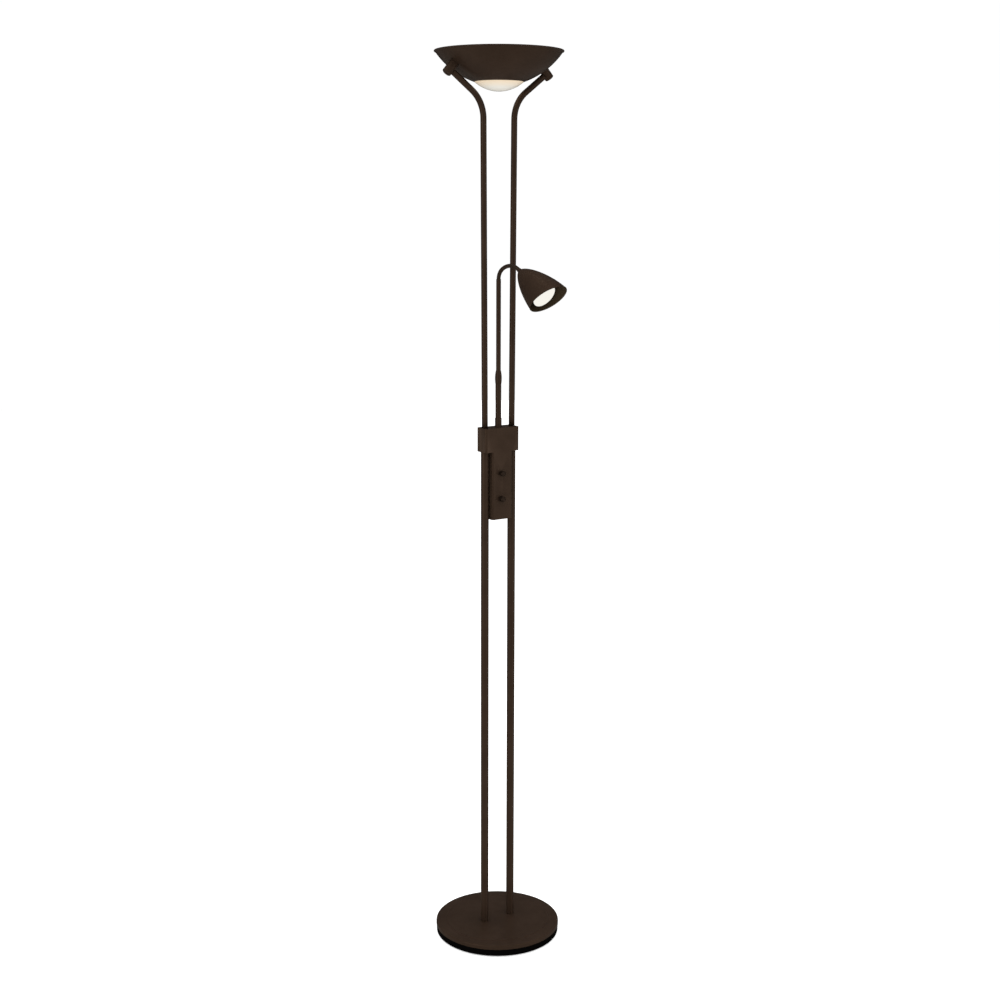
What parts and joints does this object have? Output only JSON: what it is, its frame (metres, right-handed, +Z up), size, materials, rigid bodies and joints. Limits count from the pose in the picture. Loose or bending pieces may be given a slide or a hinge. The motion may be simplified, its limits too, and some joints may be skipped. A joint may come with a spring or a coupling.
{
  "type": "torchiere floor lamp",
  "caption": "Floor lamp with an upward bowl on twin poles, a glowing glass dish in the bowl, a control housing with dimmer knobs and a flexible reading spot.",
  "frame": {"origin": "centre of the foot, on the floor", "axes": "+Z up along the poles; +X along the line between the poles; -Y is the front, where the knobs are"},
  "size_m": [0.258, 0.2931, 1.8],
  "materials": {
    "bronze_paint": "satin dark bronze paint, fine grain",
    "bronze_knob": "satin dark bronze paint",
    "black_plastic": "matt black",
    "white_plastic": "matt white",
    "cast_weight": "rough cast",
    "felt": "black felt",
    "zinc_steel": "zinc-plated",
    "hose_steel": "satin dark bronze, wound strip",
    "brass": "turned",
    "ceramic": "glazed ceramic",
    "frosted_glass": "frosted, lit from behind",
    "lamp_glass": "frosted front, lit",
    "quartz_glass": "clear quartz"
  },
  "bodies": {
    "stand": {"base_cover": "bronze_paint", "base_weight": "cast_weight", "base_tray": "black_plastic", "base_pads": "felt", "tray_screws": "zinc_steel", "cord_gland": "black_plastic", "gland_nut": "black_plastic", "pole_studs": "zinc_steel", "pole_washers": "zinc_steel", "pole_nuts": "zinc_steel", "lower_pole_left": "bronze_paint", "lower_pole_right": "bronze_paint", "pole_bushes": "brass", "upper_pole_left": "bronze_paint", "upper_pole_right": "bronze_paint", "control_front_cover": "bronze_paint", "control_rear_cover": "bronze_paint", "cover_screws": "zinc_steel", "control_plate": "zinc_steel", "plate_screws": "zinc_steel", "dimmer_upper": "black_plastic", "dimmer_lower": "black_plastic", "dimmer_nuts": "zinc_steel", "terminal_block": "white_plastic", "arm_ferrule": "bronze_paint", "arm_post": "bronze_paint", "arm_nut": "zinc_steel", "swivel_coupling": "bronze_paint", "swivel_washer": "black_plastic", "collar_left": "bronze_paint", "collar_right": "bronze_paint", "bowl": "bronze_paint", "bowl_screws": "zinc_steel", "glass_dish": "frosted_glass", "glass_clips": "zinc_steel", "lamp_bracket": "zinc_steel", "lampholder_left": "ceramic", "lampholder_right": "ceramic", "holder_screws": "zinc_steel", "tube_lamp": "quartz_glass"},
    "knob_upper": {"knob_upper": "bronze_knob", "shaft_upper": "brass"},
    "knob_lower": {"knob_lower": "bronze_knob", "shaft_lower": "brass"},
    "reading_arm": {"arm_tube": "bronze_paint", "hose_ferrule": "bronze_paint", "hose_link_lower": "hose_steel"},
    "hose_middle": {"hose_link_middle": "hose_steel"},
    "spot_head": {"hose_link_upper": "hose_steel", "shade_socket": "bronze_paint", "shade_nut": "zinc_steel", "spot_shade": "bronze_paint", "spot_lampholder": "ceramic", "spot_lamp": "lamp_glass"}
  },
  "joints": [
    {"name": "knob_upper_turn", "type": "hinge", "parent": "stand", "child": "knob_upper", "pos_m": [-0.004, -0.016, 0.985], "axis": [0, 1, 0], "range_deg": [0, 270]},
    {"name": "knob_lower_turn", "type": "hinge", "parent": "stand", "child": "knob_lower", "pos_m": [-0.004, -0.016, 0.933], "axis": [0, 1, 0], "range_deg": [0, 270]},
    {"name": "arm_swivel", "type": "hinge", "parent": "stand", "child": "reading_arm", "pos_m": [0, 0, 1.175], "axis": [0, 0, 1], "range_deg": [-57, 33]},
    {"name": "hose_bend_1", "type": "hinge", "parent": "reading_arm", "child": "hose_middle", "pos_m": [0.00213, -0.01001, 1.38766], "axis": [0.9781, 0.2079, 0], "range_deg": [-28, 10]},
    {"name": "hose_bend_2", "type": "hinge", "parent": "hose_middle", "child": "spot_head", "pos_m": [0.00674, -0.03173, 1.39471], "axis": [0.9781, 0.2079, 0], "range_deg": [-28, 10]}
  ],
  "couplings": [
    {"joint": "hose_bend_2", "follows": "hose_bend_1", "ratio": 1}
  ]
}
